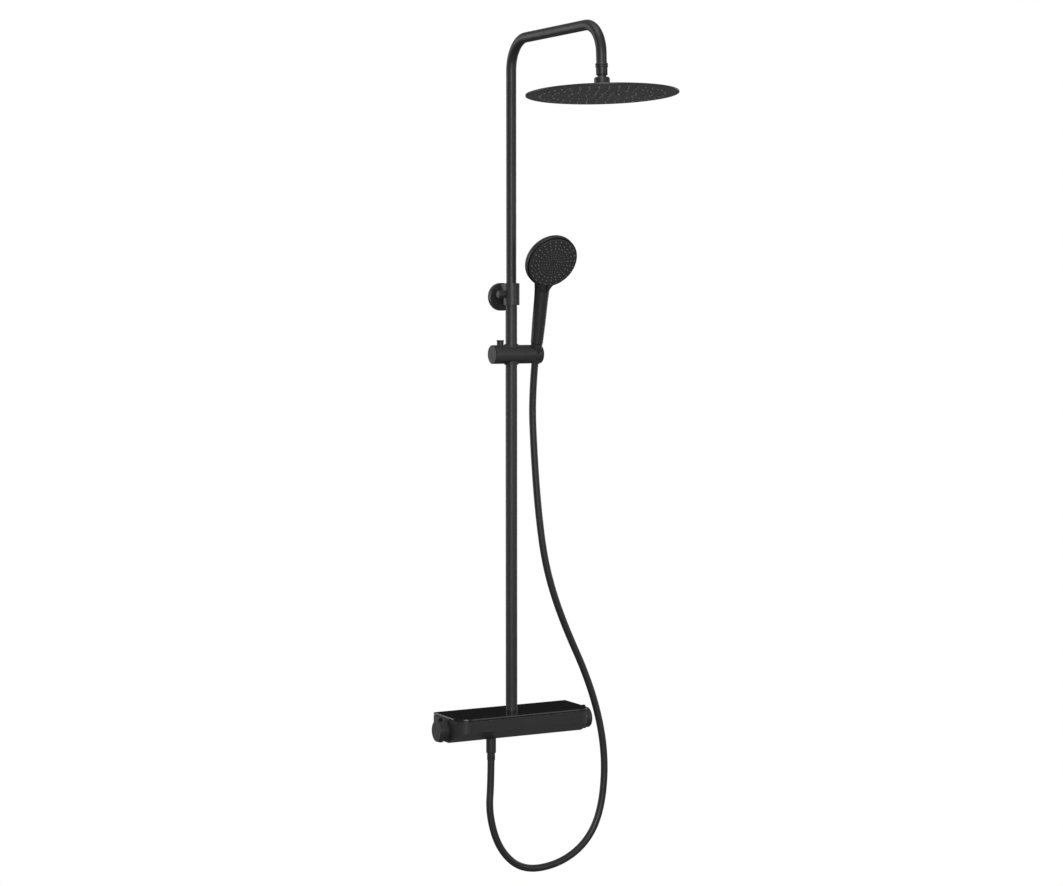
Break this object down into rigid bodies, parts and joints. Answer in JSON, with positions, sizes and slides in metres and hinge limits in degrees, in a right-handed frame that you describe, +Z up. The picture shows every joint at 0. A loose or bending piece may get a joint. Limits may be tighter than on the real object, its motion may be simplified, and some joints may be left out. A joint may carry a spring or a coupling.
{
  "type": "rainfall shower column",
  "caption": "Wall-mounted matte black shower column: glass-topped thermostatic shelf mixer, telescopic riser with bent arm, flat rain head, sliding handset and hose.",
  "frame": {"origin": "on the wall, midway between the two water inlets, in the plane of the mixer's back plate", "axes": "+X right along the wall seen from the room, +Y into the wall, +Z up"},
  "size_m": [0.3448, 0.4799, 1.4721],
  "materials": {
    "satin_black_metal": "fine matte black powder coat over metal",
    "black_glass": "opaque black toughened glass, polished",
    "black_plastic": "matte black moulded plastic",
    "inner_plastic": "plain dark grey moulding, hidden",
    "black_hose": "smooth satin black hose skin",
    "black_rubber": "matte black silicone",
    "brass": "plain machined brass, hidden",
    "steel": "stainless steel, mostly hidden"
  },
  "bodies": {
    "column": {"housing_cover": "satin_black_metal", "glass_shelf": "black_glass", "shelf_pad": "inner_plastic", "back_plate": "inner_plastic", "valve_body": "brass", "inlet_unions": "brass", "inlet_filters": "steel", "inlet_check_valves": "inner_plastic", "thermostat_cartridge": "brass", "flow_cartridge": "brass", "riser_union_nut": "brass", "riser_pipe": "satin_black_metal", "cover_screws": "steel", "bracket_collar": "satin_black_metal", "telescope_gland": "satin_black_metal", "bracket_neck": "satin_black_metal", "wall_flange": "satin_black_metal", "bracket_wall_plate": "steel", "hose_outlet_nut": "satin_black_metal", "outlet_washer": "black_rubber", "outlet_check_valve": "inner_plastic", "shower_hose": "black_hose"},
    "temperature_knob": {"temperature_knob": "black_plastic", "thermostat_spindle": "brass", "temperature_stop_ring": "inner_plastic", "temperature_button_spring": "steel"},
    "temperature_button": {"temperature_button": "black_plastic"},
    "flow_knob": {"flow_knob": "black_plastic", "flow_spindle": "brass", "flow_stop_ring": "inner_plastic", "flow_button_spring": "steel"},
    "flow_button": {"flow_button": "black_plastic"},
    "bracket_knob": {"bracket_knob": "satin_black_metal"},
    "riser_guide": {"telescope_guide": "inner_plastic", "telescope_seals": "black_rubber"},
    "shower_arm": {"arm_pipe": "satin_black_metal", "arm_ferrule": "satin_black_metal", "ball_stem": "satin_black_metal"},
    "swivel_seat": {"ball_seat": "inner_plastic"},
    "swivel_ring": {"ball_seal": "black_rubber"},
    "rain_head": {"head_cap_nut": "satin_black_metal", "head_top_shell": "satin_black_metal", "head_face_plate": "satin_black_metal", "head_nozzle_mat": "black_rubber", "head_filter": "steel"},
    "slider": {"slider_body": "black_plastic", "slider_end_cap": "black_plastic", "slider_liner": "inner_plastic", "slider_brake_shoe": "inner_plastic", "slider_spring": "steel"},
    "slider_button": {"slider_button": "black_plastic"},
    "handset_holder": {"handset_holder": "black_plastic", "holder_axle": "steel"},
    "hose_swivel": {"hose_cone_nut": "satin_black_metal", "handset_washer": "black_rubber"},
    "handset": {"handset_shell": "black_plastic", "handset_bezel": "black_plastic", "handset_face_plate": "black_plastic", "handset_nozzle_mat": "black_rubber", "handset_waterway": "inner_plastic"}
  },
  "joints": [
    {"name": "temperature_turn", "type": "hinge", "parent": "column", "child": "temperature_knob", "pos_m": [0.1336, -0.048, -0.003], "axis": [1, 0, 0], "range_deg": [-120, 60]},
    {"name": "temperature_button_press", "type": "slide", "parent": "temperature_knob", "child": "temperature_button", "axis": [0, 0, -1], "range_m": [0, 0.0012], "stiffness_N_per_m": 600, "springref_m": -0.0008, "deforming": ["temperature_button_spring"]},
    {"name": "flow_turn", "type": "hinge", "parent": "column", "child": "flow_knob", "pos_m": [-0.1336, -0.048, -0.003], "axis": [-1, 0, 0], "range_deg": [-90, 90]},
    {"name": "flow_button_press", "type": "slide", "parent": "flow_knob", "child": "flow_button", "axis": [0, 0, -1], "range_m": [0, 0.0012], "stiffness_N_per_m": 600, "springref_m": -0.0008, "deforming": ["flow_button_spring"]},
    {"name": "bracket_knob_turn", "type": "hinge", "parent": "column", "child": "bracket_knob", "pos_m": [-0.014, -0.042, 0.7532], "axis": [-1, 0, 0], "range_deg": [-180, 180]},
    {"name": "riser_telescope", "type": "slide", "parent": "column", "child": "riser_guide", "axis": [0, 0, 1], "range_m": [-0.2, 0.12]},
    {"name": "arm_swing", "type": "hinge", "parent": "riser_guide", "child": "shower_arm", "pos_m": [0, -0.042, 0.507], "axis": [0, 0, 1], "range_deg": [-30, 30]},
    {"name": "head_nod", "type": "hinge", "parent": "shower_arm", "child": "swivel_seat", "pos_m": [0, -0.35404, 1.09683], "axis": [1, 0, 0], "range_deg": [-8, 8]},
    {"name": "head_tilt", "type": "hinge", "parent": "swivel_seat", "child": "swivel_ring", "pos_m": [0, -0.35404, 1.09683], "axis": [0, 1, 0], "range_deg": [-8, 8]},
    {"name": "head_spin", "type": "hinge", "parent": "swivel_ring", "child": "rain_head", "pos_m": [0, -0.35404, 1.09683], "axis": [0, 0.0523, 0.9986], "continuous": true},
    {"name": "slider_height", "type": "slide", "parent": "column", "child": "slider", "axis": [0, 0, 1], "range_m": [-0.4, 0.05], "deforming": ["shower_hose"]},
    {"name": "slider_button_press", "type": "slide", "parent": "slider", "child": "slider_button", "axis": [0, 0, -1], "range_m": [0, 0.0025], "stiffness_N_per_m": 700, "springref_m": -0.002, "deforming": ["slider_spring"]},
    {"name": "holder_tilt", "type": "hinge", "parent": "slider", "child": "handset_holder", "pos_m": [0.02, -0.042, 0.6485], "axis": [1, 0, 0], "range_deg": [-8, 20], "deforming": ["shower_hose"]},
    {"name": "handset_lift", "type": "slide", "parent": "handset_holder", "child": "hose_swivel", "axis": [0, -0.2002, 0.9798], "range_m": [0, 0.025], "deforming": ["shower_hose"]},
    {"name": "handset_turn", "type": "hinge", "parent": "hose_swivel", "child": "handset", "pos_m": [0.045, -0.0484, 0.6485], "axis": [0, -0.2002, 0.9798], "range_deg": [-10, 60]}
  ]
}
